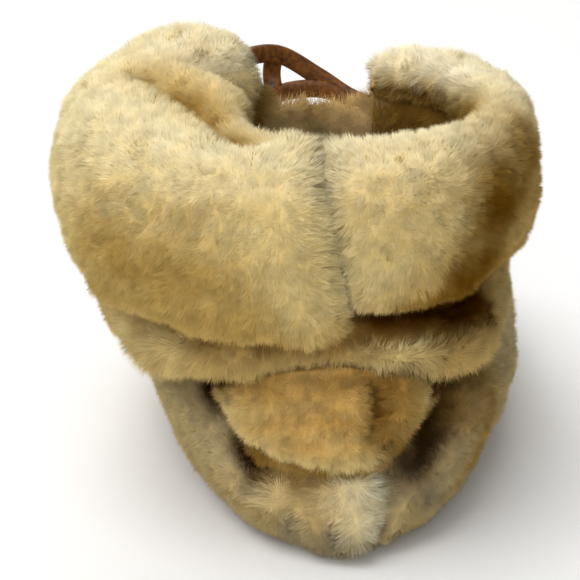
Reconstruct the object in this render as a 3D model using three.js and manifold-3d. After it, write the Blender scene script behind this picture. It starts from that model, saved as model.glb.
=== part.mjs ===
// Baby slipper of sheepskin with the wool outside: an ankle-high bootie with a thick turned-down cuff
// in two halves, an ankle band, a heel counter let into the foot wall, a soft suede sole and a thong
// laced across the throat. Units are millimetres. +Y points to the toe, +X to the wearer's right, the
// floor is z = 0, and the origin lies on the sole under the middle of the ankle.
import * as THREE from "three";
import { mergeVertices } from "three/addons/utils/BufferGeometryUtils.js";
import Module from "manifold-3d";

const wasm = await Module();
wasm.setup();

const { smoothstep, lerp, degToRad, clamp } = THREE.MathUtils;

// Driving dimensions
const LAST_LENGTH = 128; // inside, heel to toe
const BALL_WIDTH = 66; // inside, across the ball
const HEEL_WIDTH = 48; // inside, across the heel
const SHAFT_TOP = 79.5; // top edge of the hide inside the cuff
const HEEL_BACK = -34; // rearmost point of the last
const HIDE = 2; // tanned skin
const PILE = 9; // wool standing on the foot wall
const HEEL_PILE = 6.2; // wool on the heel counter
const BAND_PILE = 8; // wool on the ankle band
const SEAM_ROUND = 8; // width over which the wool rolls down into a seam
const GAP = 0.3; // between pieces that lie against each other
const SOLE_THICKNESS = 2.5;
const SOLE_EDGE = 1.2; // rounding of the sole's lower edge
const INSOLE_THICKNESS = 3;
const LIP = 1.6; // the wool of the foot wall stops this far above the floor
const TOE_SPRING = 2.5; // rise of the toe over the floor
const SPRING_START = 62; // where along the foot the sole begins to rise
const FEATHER = SOLE_THICKNESS + GAP; // height of the line where upper and sole meet

// Horizontal sections of the last. up: height as a share of the shaft. back and front: where the section
// ends, as shares of the length. heel and ball: radius of its two end arcs, as shares of half the width.
const LAST_SECTIONS = [
  { up: 0.034, back: 0.014, front: 0.98, heel: 0.94, ball: 0.94 },
  { up: 0.12, back: 0.004, front: 1.0, heel: 1.0, ball: 1.0 },
  { up: 0.22, back: 0.0, front: 0.99, heel: 1.02, ball: 1.0 },
  { up: 0.32, back: 0.004, front: 0.94, heel: 1.02, ball: 0.95 },
  { up: 0.395, back: 0.008, front: 0.87, heel: 1.04, ball: 0.91 },
  { up: 0.46, back: 0.012, front: 0.775, heel: 1.06, ball: 0.88 },
  { up: 0.52, back: 0.02, front: 0.675, heel: 1.08, ball: 0.85 },
  { up: 0.59, back: 0.03, front: 0.575, heel: 1.12, ball: 0.82 },
  { up: 0.69, back: 0.042, front: 0.52, heel: 1.15, ball: 0.835 },
  { up: 0.81, back: 0.045, front: 0.505, heel: 1.17, ball: 0.865 },
  { up: 1.0, back: 0.04, front: 0.505, heel: 1.2, ball: 0.89 },
];
const ARC_BLEND = { heel: 0.05, ball: 0.7 }; // share of the half turn where the outline leaves each end arc

// The ankle line, where the foot wall ends: heights at the back, at the sides and over the instep
const ANKLE = { back: 40, side: 31, front: 50 };

// The heel counter: a panel that widens upwards between the two arms of the foot wall. foot: its lowest
// line. turn: its middle, in degrees from the back. footHalfAngle and spread: its half width there, and how
// much that grows with each millimetre of height. topGap and edgeGap: its distance from the seams. edge and
// topEdge: how much of the wool stands at the seams, and at the top, under the band. across and rows: the
// points of its mesh.
const COUNTER = {
  foot: 17,
  turn: -7,
  footHalfAngle: 27,
  spread: 1.95,
  topGap: 0.6,
  edgeGap: 1.6,
  edge: 0.12,
  topEdge: 0.7,
  across: 15,
  rows: 9,
};

// The ankle band's roll, from the shaft outwards and from its lower to its upper edge, as shares of its
// depth of wool and of its height. The band is taller at the sides than at back and front.
const BAND_ROLL = [
  { out: 0, up: 0.04 },
  { out: 0.62, up: 0.0 },
  { out: 0.95, up: 0.2 },
  { out: 1.0, up: 0.45 },
  { out: 0.85, up: 0.75 },
  { out: 0.4, up: 0.97 },
  { out: 0, up: 1.0 },
];
const BAND_HEIGHT = 12;
const BAND_DIP = 3;
const BAND_BULGE = { more: 1.5, turn: -80, halfAngle: 38 }; // its wool is deeper on the left, by this share

// The cuff's roll, going round one section. out: share of the roll's thickness outside the shaft, or, when
// negative, of the wool turned in over the shaft's edge. up: share of the height from hem to crest.
const CUFF_ROLL = [
  { out: 0.03, up: 0.1 },
  { out: 0.0, up: 0.4 },
  { out: 0.0, up: 0.6 },
  { out: -0.85, up: 0.64 },
  { out: -1.0, up: 0.78 },
  { out: -0.8, up: 0.92 },
  { out: -0.1, up: 1.0 },
  { out: 0.35, up: 0.99 },
  { out: 0.72, up: 0.91 },
  { out: 0.94, up: 0.74 },
  { out: 1.0, up: 0.5 },
  { out: 0.94, up: 0.24 },
  { out: 0.74, up: 0.06 },
  { out: 0.4, up: 0.0 },
  { out: 0.14, up: 0.03 },
];

// Sections of the two cuff halves. turn: degrees round the ankle from the back seam. thick: the roll's
// thickness outside the shaft. inside: wool turned in. hem and crest: its lowest and highest line.
const CUFF_LEFT = [
  { turn: 0.55, thick: 18, inside: 7, hem: 47, crest: 85 },
  { turn: 25, thick: 21, inside: 8, hem: 46.5, crest: 85 },
  { turn: 55, thick: 25.5, inside: 12, hem: 45.5, crest: 85.5 },
  { turn: 85, thick: 27, inside: 16, hem: 44, crest: 88.5 },
  { turn: 106, thick: 27, inside: 7, hem: 45, crest: 88 },
  { turn: 125, thick: 25, inside: 14, hem: 43, crest: 91 },
  { turn: 148, thick: 16, inside: 8, hem: 54, crest: 89 },
];
const CUFF_RIGHT = [
  { turn: 0.55, thick: 17, inside: 5, hem: 52, crest: 84.6 },
  { turn: 25, thick: 17, inside: 5, hem: 52.5, crest: 84.3 },
  { turn: 55, thick: 12.5, inside: 5, hem: 53, crest: 84 },
  { turn: 90, thick: 9, inside: 6, hem: 51, crest: 84.5 },
  { turn: 130, thick: 12, inside: 7, hem: 51, crest: 85.2 },
  { turn: 168, thick: 13, inside: 8, hem: 54, crest: 84.6 },
];
const CUFF_ENDS = {
  seam: { over: 7, left: 0.88 }, // at the back seam: degrees that it rounds off over, thickness left
  flap: { over: 16, left: 0.4 }, // the same at the end of a flap
};
const END_HEIGHT = 0.7; // how much of the roll's height is left where an end rounds off fully
const SEAM_LEAN = { hem: 4, crest: -5, halfAngle: 40 }; // the back seam leans: degrees at hem and crest
const HIDE_CLEAR = 2.5 * GAP; // between the shaft's hide and the wool pieces sewn over it

// The throat: a slit in the front of the shaft, wider at the top. shift: how far it lies off the middle.
// near and far: what it cuts, along the foot. above: how far the cut runs past the shaft's edge.
const THROAT = { floor: 71, topWidth: 30, floorWidth: 20, shift: -3, near: 10, far: 70, above: 5 };

// The thong: flat leather, laced across the throat. Its two bars leave the left flap through two holes,
// meet at one hole in the right flap, and are linked by a short pass up the left flap's edge.
// square: how square its section is, 1 for an ellipse and 0 for a box.
const THONG = { width: 4, thickness: 1.8, corners: 6, steps: 2, square: 0.6 };
const UPPER_BAR = [
  { x: -21.5, y: 31.5, z: 81 },
  { x: -12, y: 38.5, z: 80.5 },
  { x: -3, y: 40.5, z: 75 },
  { x: 4, y: 40, z: 70.5 },
  { x: 11, y: 37, z: 68.5 },
];
const LOWER_BAR = [
  { x: -20.5, y: 31, z: 68 },
  { x: -12, y: 38, z: 71.5 },
  { x: -3, y: 40, z: 72.3 },
  { x: 4, y: 40, z: 70 },
  { x: 11, y: 37, z: 68 },
];
const EDGE_PASS = [
  { x: -12.5, y: 38.4, z: 80 },
  { x: -13, y: 39.2, z: 76 },
  { x: -12.5, y: 38, z: 72 },
];

// A wool lock lies on the fleece along its fall. along: share of the way from root to tip. wide: share of
// the lock's width. lift: how far its middle lies above the fleece.
const LOCK_SHAPE = [
  { along: 0, wide: 0.35, lift: -1.3 },
  { along: 0.6, wide: 1, lift: -0.8 },
  { along: 1, wide: 0.3, lift: -0.2 },
];
const LOCK_CORNERS = 6;

// Locks along the lower edge of the foot wall, round the heel. tip and root: heights of their two ends.
// stagger: how much higher every next lock of a run of three lies. halfTurn: degrees on each side.
const HEEL_LOCKS = { count: 11, width: 11, thick: 2.6, tip: 3.5, root: 13, stagger: 1.5, halfTurn: 80 };

// Locks along the hem of a cuff half. root and tip: places in the roll's section, as shares of the way
// round it. stagger: as above, but as such a share.
const CUFF_LOCKS = { count: 8, width: 13, thick: 2.8, root: 0.68, tip: 0.83, stagger: 0.015 };

// The fleece of the foot wall: a bulge at the back of the heel, fuller sides, and how much of the wool is
// left at the lower edge, in the middle of the heel and elsewhere. Angles in degrees from the back.
const HEEL_BULGE = { depth: 1.5, halfAngle: 20, top: 17 };
const SIDE_SWELL = { depth: 2, angle: 82, halfAngle: 30 };
const LIP_SHARE = { heel: 0.8, elsewhere: 0.12 };
const LIP_ROUND = 22; // height over which the wool grows from that share

// Soft lumps of the fleece: two waves, by how often they go round the ankle, how fast they change with
// height and where they start, and how strong they are on each piece
const LUMP_WAVES = [
  { round: 5, up: 0.13, start: 0 },
  { round: -8, up: 0.21, start: 1.7 },
];
const LUMPINESS = { foot: 0.1, heel: 0.06, band: 0.12, cuff: 0.06 };

// Mesh densities
const COLUMNS = 64;
const FOOT_ROWS = 12;
const SHAFT_ROWS = 3;
const INNER_COLUMNS = 40;
const INNER_ROWS = 10;
const BAND_COLUMNS = 46;
const CUFF_COLUMNS = 20;
const CUFF_AROUND = 17;
const CUFF_CROWDING = 0.6; // how much closer the cuff's sections lie at its ends: 0 for evenly spaced

// Materials, by what each piece is cut from
const wool = new THREE.MeshStandardMaterial({ color: 0xd8c79a, roughness: 0.95, metalness: 0 });
const tanWool = new THREE.MeshStandardMaterial({ color: 0xc9a869, roughness: 0.95, metalness: 0 });
const suede = new THREE.MeshStandardMaterial({ color: 0x9b7f5a, roughness: 0.9, metalness: 0 });
const thongLeather = new THREE.MeshStandardMaterial({ color: 0x7a4316, roughness: 0.6, metalness: 0 });

// Closed meshes as solids, and back
function solidFrom(geometry) {
  const bare = geometry.clone();
  bare.deleteAttribute("normal");
  bare.deleteAttribute("uv");
  const merged = mergeVertices(bare, 1e-4);
  return new wasm.Manifold(
    new wasm.Mesh({
      numProp: 3,
      vertProperties: new Float32Array(merged.attributes.position.array),
      triVerts: new Uint32Array(merged.index.array),
    }),
  );
}

function geometryFrom(solid) {
  const mesh = solid.getMesh();
  const geometry = new THREE.BufferGeometry();
  geometry.setAttribute("position", new THREE.BufferAttribute(mesh.vertProperties, 3));
  geometry.setIndex(new THREE.BufferAttribute(mesh.triVerts, 1));
  return geometry;
}

// A tube through equal rings of points that run anticlockwise seen from the last ring, with both ends
// filled from their middle, or closed on itself.
function tube(rings, closed = false) {
  const around = rings[0].length;
  const points = rings.flat();
  const faces = [];
  const last = closed ? rings.length : rings.length - 1;
  for (let i = 0; i < last; i++) {
    for (let j = 0; j < around; j++) {
      const here = i * around;
      const next = ((i + 1) % rings.length) * around;
      const k = (j + 1) % around;
      faces.push(here + j, here + k, next + k, here + j, next + k, next + j);
    }
  }
  if (!closed) {
    const fill = (ring, start, flip) => {
      const middle = new THREE.Vector3();
      ring.forEach((p) => middle.addScaledVector(p, 1 / around));
      const centre = points.push(middle) - 1;
      for (let j = 0; j < around; j++) {
        const k = (j + 1) % around;
        faces.push(centre, start + (flip ? k : j), start + (flip ? j : k));
      }
    };
    fill(rings[0], 0, true);
    fill(rings.at(-1), (rings.length - 1) * around, false);
  }
  const geometry = new THREE.BufferGeometry().setFromPoints(points);
  geometry.setIndex(faces);
  return geometry;
}

// The last
const lastTable = new THREE.CubicInterpolant(
  LAST_SECTIONS.map((row) => row.up * SHAFT_TOP),
  LAST_SECTIONS.flatMap((row) => [row.back, row.front, row.heel, row.ball]),
  4,
);

function lastSection(z) {
  const lowest = LAST_SECTIONS[0].up * SHAFT_TOP;
  const [back, front, heel, ball] = lastTable.evaluate(clamp(z, lowest, SHAFT_TOP));
  const heelRadius = (heel * HEEL_WIDTH) / 2;
  const ballRadius = (ball * BALL_WIDTH) / 2;
  return {
    heelRadius,
    ballRadius,
    heelCentre: HEEL_BACK + back * LAST_LENGTH + heelRadius,
    ballCentre: HEEL_BACK + front * LAST_LENGTH - ballRadius,
  };
}

// A point of the last at a turn round it, in radians from the back towards +X, and a height
function lastPoint(turn, z) {
  const s = lastSection(z);
  const along = smoothstep((1 - Math.cos(turn)) / 2, ARC_BLEND.heel, ARC_BLEND.ball);
  const radius = lerp(s.heelRadius, s.ballRadius, along);
  const centre = lerp(s.heelCentre, s.ballCentre, along);
  return new THREE.Vector3(radius * Math.sin(turn), centre - radius * Math.cos(turn), z);
}

function lastNormal(turn, z) {
  const step = 0.01;
  const alongTurn = lastPoint(turn + step, z).sub(lastPoint(turn - step, z));
  const alongHeight = lastPoint(turn, z + step).sub(lastPoint(turn, z - step));
  return alongTurn.cross(alongHeight).normalize();
}

// The last's surface moved out by a thickness
function overLast(turn, z, thickness) {
  return lastPoint(turn, z).addScaledVector(lastNormal(turn, z), thickness);
}

function ankleHeight(turn) {
  const tilt = (ANKLE.back - ANKLE.front) / 2;
  const middle = (ANKLE.back + ANKLE.front) / 2;
  const bow = (middle - ANKLE.side) / 2;
  return ANKLE.side + bow + tilt * Math.cos(turn) + bow * Math.cos(2 * turn);
}

// Wool rolling down into a seam: 0 on the seam, 1 at a distance of one rounding width
function rollDown(distance, width = SEAM_ROUND) {
  return Math.sin((Math.PI / 2) * clamp(distance / width, 0, 1));
}

// Soft lumps of the fleece, between -1 and 1
function lumps(turn, z) {
  const waves = LUMP_WAVES.map(({ round, up, start }) => Math.sin(round * turn + up * z + start));
  return waves.reduce((sum, wave) => sum + wave, 0) / LUMP_WAVES.length;
}

// The angle on each side of its middle that the heel counter takes up at a height
function counterHalfAngle(z) {
  return degToRad(COUNTER.footHalfAngle + COUNTER.spread * (z - COUNTER.foot));
}

function wrapTurn(turn) {
  return Math.atan2(Math.sin(turn), Math.cos(turn));
}

// How far a point lies outside the heel counter's opening, in millimetres; negative inside it
function outsideCounter(turn, z) {
  const fromMiddle = Math.abs(wrapTurn(turn - degToRad(COUNTER.turn)));
  const sideways = (fromMiddle - counterHalfAngle(z)) * (HEEL_WIDTH / 2 + HIDE);
  return Math.max(COUNTER.foot - z, sideways);
}

function bell(turn, middle, halfAngle) {
  return Math.exp(-(((Math.abs(wrapTurn(turn)) - degToRad(middle)) / degToRad(halfAngle)) ** 2));
}

function footPile(turn, z) {
  const heel = bell(turn, 0, HEEL_BULGE.halfAngle);
  const bulge = HEEL_BULGE.depth * heel * clamp(1 - z / HEEL_BULGE.top, 0, 1);
  const swell = SIDE_SWELL.depth * bell(turn, SIDE_SWELL.angle, SIDE_SWELL.halfAngle);
  const lipShare = lerp(LIP_SHARE.elsewhere, LIP_SHARE.heel, heel);
  const overLip = lerp(lipShare, 1, rollDown(z - LIP, LIP_ROUND));
  const seams = rollDown(ankleHeight(turn) - z) * rollDown(outsideCounter(turn, z));
  return (PILE + bulge + swell) * seams * overLip * (1 + LUMPINESS.foot * lumps(turn, z));
}

// Solids of the whole form, from the floor's edge to the shaft's top
function formSolid(columns, heights, thicknessAt) {
  const rings = heights.map((heightAt) =>
    Array.from({ length: columns }, (_, j) => {
      const turn = (2 * Math.PI * j) / columns;
      const z = heightAt(turn);
      const p = overLast(turn, clamp(z, FEATHER, SHAFT_TOP), thicknessAt(turn, z));
      p.z = z < FEATHER || z > SHAFT_TOP ? z : Math.max(p.z, LIP);
      return p;
    }),
  );
  return solidFrom(tube(rings));
}

function upperHeights() {
  const foot = Array.from({ length: FOOT_ROWS }, (_, i) => (turn) =>
    lerp(LIP, ankleHeight(turn), i / (FOOT_ROWS - 1)),
  );
  const shaft = Array.from({ length: SHAFT_ROWS }, (_, i) => (turn) =>
    lerp(ankleHeight(turn), SHAFT_TOP, (i + 1) / SHAFT_ROWS),
  );
  return [...foot, ...shaft];
}

function innerHeights() {
  const below = -2;
  const above = SHAFT_TOP + 2;
  const rows = Array.from({ length: INNER_ROWS }, (_, i) => () =>
    lerp(FEATHER, SHAFT_TOP, i / (INNER_ROWS - 1)),
  );
  return [() => below, ...rows, () => above];
}

// A plate with the last's outline at the feather line, grown by an edge
function soleRing(z, edge) {
  return Array.from({ length: COLUMNS }, (_, j) => {
    const turn = (2 * Math.PI * j) / COLUMNS;
    const outward = lastNormal(turn, FEATHER).setZ(0).normalize();
    const p = lastPoint(turn, FEATHER).addScaledVector(outward, edge);
    return p.setZ(z);
  });
}

// A slab between rings of points, closed below and above by rungs across the foot, so that it can bend
function slab(rings) {
  const around = rings[0].length;
  const points = rings.flat();
  const faces = [];
  for (let i = 0; i + 1 < rings.length; i++) {
    for (let j = 0; j < around; j++) {
      const k = (j + 1) % around;
      const here = i * around;
      const next = here + around;
      faces.push(here + j, here + k, next + k, here + j, next + k, next + j);
    }
  }
  const top = (rings.length - 1) * around;
  for (let j = 0; j < around / 2; j++) {
    const right = [j, j + 1];
    const left = [(around - j) % around, around - j - 1];
    for (const [a, b, c] of [
      [right[0], right[1], left[1]],
      [right[0], left[1], left[0]],
    ]) {
      if (a === b || b === c || a === c) continue;
      faces.push(c, b, a, top + a, top + b, top + c);
    }
  }
  const geometry = new THREE.BufferGeometry().setFromPoints(points);
  geometry.setIndex(faces);
  return geometry;
}

function outsole() {
  const edge = HIDE;
  return slab([
    soleRing(0, edge - SOLE_EDGE),
    soleRing(SOLE_EDGE / 2, edge - SOLE_EDGE / 4),
    soleRing(SOLE_EDGE, edge),
    soleRing(SOLE_THICKNESS, edge),
  ]);
}

function insole() {
  const edge = -2 * GAP;
  return slab([soleRing(FEATHER, edge), soleRing(FEATHER + INSOLE_THICKNESS, edge)]);
}

// The room that the outsole needs in the upper
function soleRoom() {
  return solidFrom(slab([soleRing(-1, HIDE + GAP), soleRing(FEATHER, HIDE + GAP)]));
}

// The slit in the front of the shaft, as a wedge that the shaft is cut with
function throatWedge() {
  const { floor, floorWidth, topWidth, shift, near, far, above } = THROAT;
  const outline = new THREE.Shape([
    new THREE.Vector2(shift - floorWidth / 2, floor),
    new THREE.Vector2(shift + floorWidth / 2, floor),
    new THREE.Vector2(shift + topWidth / 2, SHAFT_TOP + above),
    new THREE.Vector2(shift - topWidth / 2, SHAFT_TOP + above),
  ]);
  const wedge = new THREE.ExtrudeGeometry(outline, { depth: far - near, bevelEnabled: false });
  wedge.rotateX(Math.PI / 2);
  wedge.translate(0, far, 0);
  return solidFrom(wedge);
}

// A wool lock: a flat tapered strip through the points that a function gives for each row of its shape
function lock(pointAt, outward, { width, thick }) {
  const middles = LOCK_SHAPE.map(({ along, lift }) => pointAt(along, lift));
  const fall = middles.at(-1).clone().sub(middles[0]).normalize();
  const across = new THREE.Vector3().crossVectors(fall, outward).normalize();
  const over = new THREE.Vector3().crossVectors(fall, across);
  const rings = LOCK_SHAPE.map(({ wide }, i) =>
    Array.from({ length: LOCK_CORNERS }, (_, j) => {
      const turn = (2 * Math.PI * j) / LOCK_CORNERS;
      return middles[i]
        .clone()
        .addScaledVector(across, (wide * width * Math.cos(turn)) / 2)
        .addScaledVector(over, (wide * thick * Math.sin(turn)) / 2);
    }),
  );
  return solidFrom(tube(rings));
}

function heelLocks() {
  const { count, halfTurn, root, tip, stagger } = HEEL_LOCKS;
  return Array.from({ length: count }, (_, i) => {
    const turn = degToRad(lerp(-halfTurn, halfTurn, i / (count - 1)));
    const pointAt = (along, lift) => {
      const z = lerp(root, tip, along) + stagger * (i % 3);
      return overLast(turn, z, HIDE + footPile(turn, z) + lift);
    };
    return lock(pointAt, lastNormal(turn, tip), HEEL_LOCKS);
  });
}

function hemLocks(half) {
  const { count, root, tip, stagger } = CUFF_LOCKS;
  const first = half.table[0].turn + CUFF_ENDS.seam.over;
  const last = half.table.at(-1).turn - CUFF_ENDS.flap.over;
  return Array.from({ length: count }, (_, i) => {
    const turnDeg = lerp(first, last, i / (count - 1));
    const pointAt = (along, lift) => {
      const { x: out, y: up } = cuffRoll.getPoint(lerp(root, tip, along) - stagger * (i % 3));
      return cuffAt(half, turnDeg, out, up, lift);
    };
    const outward = lastNormal(half.side * degToRad(turnDeg), SHAFT_TOP - 1);
    return lock(pointAt, outward, CUFF_LOCKS);
  });
}

function upper() {
  const outside = formSolid(COLUMNS, upperHeights(), (turn, z) => HIDE + footPile(turn, z));
  const inside = formSolid(INNER_COLUMNS, innerHeights(), () => 0);
  const fleece = heelLocks().reduce((sum, one) => sum.add(one), outside);
  return geometryFrom(fleece.subtract(inside).subtract(soleRoom()).subtract(throatWedge()));
}

// The room that the upper's wall takes up, with the gap that other pieces keep from it
function upperRoom() {
  const rim = () => SHAFT_TOP + GAP;
  const grown = (turn, z) => HIDE + footPile(turn, z) + 1.5 * GAP;
  const outside = formSolid(COLUMNS, [...upperHeights(), rim], grown);
  return outside.subtract(formSolid(INNER_COLUMNS, innerHeights(), () => -GAP));
}

// The largest part of a piece that is left when the room of its neighbours is taken out of it
function clearOf(solid, rooms) {
  const parts = rooms.reduce((rest, room) => rest.subtract(room), solid).decompose();
  parts.sort((a, b) => b.volume() - a.volume());
  return geometryFrom(parts[0]);
}

// A length of flat thong along a path, its width upright. grow is added all round it and at its ends.
function thong(path, grow = 0) {
  const points = path.map(({ x, y, z }) => new THREE.Vector3(x, y, z));
  const beyond = (end, before) => end.clone().sub(before).setLength(grow).add(end);
  points.splice(0, 1, beyond(points[0], points[1]));
  points.splice(-1, 1, beyond(points.at(-1), points.at(-2)));
  const curve = new THREE.CatmullRomCurve3(points);
  const steps = THONG.steps * (path.length - 1);
  const rings = Array.from({ length: steps + 1 }, (_, i) => {
    const along = curve.getTangent(i / steps);
    const rises = Math.abs(along.z) > Math.hypot(along.x, along.y);
    const upright = rises ? new THREE.Vector3(1, 0, 0) : new THREE.Vector3(0, 0, 1);
    const flat = new THREE.Vector3().crossVectors(along, upright).normalize();
    const wide = new THREE.Vector3().crossVectors(flat, along);
    return Array.from({ length: THONG.corners }, (_, j) => {
      const turn = (2 * Math.PI * (j + 0.5)) / THONG.corners;
      const side = Math.sign(Math.cos(turn)) * Math.abs(Math.cos(turn)) ** THONG.square;
      const face = Math.sign(Math.sin(turn)) * Math.abs(Math.sin(turn)) ** THONG.square;
      return curve
        .getPoint(i / steps)
        .addScaledVector(wide, side * (THONG.width / 2 + grow))
        .addScaledVector(flat, face * (THONG.thickness / 2 + grow));
    });
  });
  return solidFrom(tube(rings));
}

function lace(grow = 0) {
  return thong(UPPER_BAR, grow).add(thong(LOWER_BAR, grow)).add(thong(EDGE_PASS, grow));
}

// The heel counter: a pillow of wool that fills the opening in the foot wall
function heelCounter() {
  const { across, rows, foot, topGap, edgeGap, edge, topEdge } = COUNTER;
  const middle = degToRad(COUNTER.turn);
  const inner = [];
  const outer = [];
  for (let i = 0; i < rows; i++) {
    const v = i / (rows - 1);
    for (let j = 0; j < across; j++) {
      const u = (2 * j) / (across - 1) - 1;
      const turnAt = (z) => middle + u * (counterHalfAngle(z) - degToRad(edgeGap));
      const bottom = foot + topGap;
      const top = ankleHeight(turnAt(ANKLE.back)) - topGap;
      const z = lerp(bottom, top, v);
      const turn = turnAt(z);
      const toSide = (1 - Math.abs(u)) * counterHalfAngle(z) * (HEEL_WIDTH / 2);
      const toFoot = v * (top - bottom);
      const underBand = lerp(topEdge, 1, rollDown(top - z));
      const swell = lerp(edge, 1, rollDown(toSide) * rollDown(toFoot + topGap) * underBand);
      const wave = 1 + LUMPINESS.heel * lumps(turn, z);
      inner.push(overLast(turn, z, HIDE + HIDE_CLEAR));
      outer.push(overLast(turn, z, HIDE + HIDE_CLEAR + HEEL_PILE * swell * wave));
    }
  }
  return solidFrom(solidBetween(inner, outer, across, rows));
}

// A closed skin between two grids of points, the outer one facing out
function solidBetween(inner, outer, across, rows) {
  const count = across * rows;
  const faces = [];
  const quad = (a, b, c, d) => faces.push(a, b, c, a, c, d);
  for (let i = 0; i + 1 < rows; i++) {
    for (let j = 0; j + 1 < across; j++) {
      const a = i * across + j;
      quad(count + a, count + a + 1, count + a + across + 1, count + a + across);
      quad(a, a + across, a + across + 1, a + 1);
    }
  }
  for (let j = 0; j + 1 < across; j++) {
    const top = (rows - 1) * across + j;
    quad(j, j + 1, count + j + 1, count + j);
    quad(top + 1, top, count + top, count + top + 1);
  }
  for (let i = 0; i + 1 < rows; i++) {
    const left = i * across;
    const right = left + across - 1;
    quad(left + across, left, count + left, count + left + across);
    quad(right, right + across, count + right + across, count + right);
  }
  const geometry = new THREE.BufferGeometry().setFromPoints([...inner, ...outer]);
  geometry.setIndex(faces);
  return geometry;
}

// The ankle band: a roll of wool round the shaft, above the foot wall and under the cuff. grow is added
// all round it, for the room that it needs in the cuff.
function ankleBand(grow = 0) {
  const height = (turn) => BAND_HEIGHT - BAND_DIP * Math.cos(2 * turn);
  const rings = Array.from({ length: BAND_COLUMNS }, (_, j) => {
    const turn = (2 * Math.PI * j) / BAND_COLUMNS;
    const bulge = BAND_BULGE.more * bell(turn - degToRad(BAND_BULGE.turn), 0, BAND_BULGE.halfAngle);
    const pile = BAND_PILE * (1 + bulge + LUMPINESS.band * lumps(turn, ankleHeight(turn)));
    const ring = BAND_ROLL.map(({ out, up }) => {
      const z = ankleHeight(turn) + 2 * GAP + up * height(turn);
      return overLast(turn, z, HIDE + HIDE_CLEAR + out * pile);
    });
    const middle = new THREE.Vector3();
    ring.forEach((p) => middle.addScaledVector(p, 1 / ring.length));
    return ring.map((p) => p.clone().sub(middle).setLength(grow).add(p)).reverse();
  });
  return solidFrom(tube(rings, true));
}

// Sizes of a cuff half at a turn: thickness, wool inside, hem and crest
function cuffSizes(table, turnDeg) {
  const sizes = new THREE.CubicInterpolant(
    table.map((row) => row.turn),
    table.flatMap((row) => [row.thick, row.inside, row.hem, row.crest]),
    4,
  );
  return [...sizes.evaluate(turnDeg)];
}

// What is left of the cuff's thickness at a distance from one of its ends, both in degrees
function endRound(distance, { over, left }) {
  return lerp(left, 1, Math.sin((Math.PI / 2) * clamp(distance / over, 0, 1)));
}

const cuffRoll = new THREE.CatmullRomCurve3(
  CUFF_ROLL.map(({ out, up }) => new THREE.Vector3(out, up, 0)),
  true,
);

// A point of one half of the cuff, or at a lift outside it. half: its table, and its side, 1 for the right
// half and -1 for the left one. out and up: the point's place in the roll's section.
function cuffAt({ table, side }, turnDeg, out, up, lift = 0) {
  const [thick, inside, hem, crest] = cuffSizes(table, turnDeg);
  const turn = side * degToRad(turnDeg);
  const atSeam = endRound(turnDeg - table[0].turn, CUFF_ENDS.seam);
  const round = atSeam * endRound(table.at(-1).turn - turnDeg, CUFF_ENDS.flap);
  const middle = (hem + crest) / 2;
  const z = middle + (lerp(hem, crest, up) - middle) * lerp(END_HEIGHT, 1, round);
  const swell = 1 + LUMPINESS.cuff * lumps(turn, hem);
  const away = out > 0 ? out * thick * round * swell : out * inside * round;
  const lean = lerp(SEAM_LEAN.hem, SEAM_LEAN.crest, clamp(up, 0, 1));
  return cuffPoint(turn + degToRad(lean) * bell(turn, 0, SEAM_LEAN.halfAngle), z, away + lift);
}

// One half of the cuff. Its sections lie closer together towards its two ends.
function cuffHalf(half) {
  const first = half.table[0].turn;
  const last = half.table.at(-1).turn;
  const section = cuffRoll.getPoints(CUFF_AROUND).slice(0, CUFF_AROUND);
  const rings = Array.from({ length: CUFF_COLUMNS }, (_, i) => {
    const even = i / (CUFF_COLUMNS - 1);
    const crowded = (1 - Math.cos(Math.PI * even)) / 2;
    const turnDeg = lerp(first, last, lerp(even, crowded, CUFF_CROWDING));
    const ring = section.map(({ x: out, y: up }) => cuffAt(half, turnDeg, out, up));
    return half.side > 0 ? ring : ring.reverse();
  });
  return hemLocks(half).reduce((sum, one) => sum.add(one), solidFrom(tube(rings)));
}

// A point at a distance from the shaft's hide, measured level
function cuffPoint(turn, z, out) {
  const level = clamp(z, ankleHeight(turn), SHAFT_TOP);
  const outward = lastNormal(turn, SHAFT_TOP - 1).setZ(0).normalize();
  const p = lastPoint(turn, level).addScaledVector(outward, HIDE + HIDE_CLEAR + out);
  return p.setZ(z);
}

// Bends the toe up from the floor; every piece takes the same bend
function springToe(geometry) {
  const position = geometry.getAttribute("position");
  const toe = HEEL_BACK + LAST_LENGTH;
  for (let i = 0; i < position.count; i++) {
    const rise = TOE_SPRING * smoothstep(position.getY(i), SPRING_START, toe);
    position.setZ(i, position.getZ(i) + rise);
  }
  return geometry;
}

const slipper = new THREE.Group();

function addPiece(name, geometry, material) {
  const mesh = new THREE.Mesh(springToe(geometry), material);
  mesh.name = name;
  slipper.add(mesh);
}

const wallRoom = upperRoom();
const cuffNeighbours = [wallRoom, ankleBand(2 * GAP), lace(1.5 * GAP)];

addPiece("outsole", outsole(), suede);
addPiece("insole", insole(), wool);
addPiece("upper", upper(), wool);
addPiece("heel_counter", clearOf(heelCounter(), [wallRoom]), tanWool);
addPiece("ankle_band", clearOf(ankleBand(), [wallRoom]), wool);
addPiece("cuff_left", clearOf(cuffHalf({ table: CUFF_LEFT, side: -1 }), cuffNeighbours), wool);
addPiece("cuff_right", clearOf(cuffHalf({ table: CUFF_RIGHT, side: 1 }), cuffNeighbours), wool);
addPiece("lace", geometryFrom(lace()), thongLeather);

export default slipper;
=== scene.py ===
import math
from typing import NamedTuple

import bpy
import numpy as np
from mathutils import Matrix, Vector, noise
from mathutils.bvhtree import BVHTree
from mathutils.kdtree import KDTree


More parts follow.
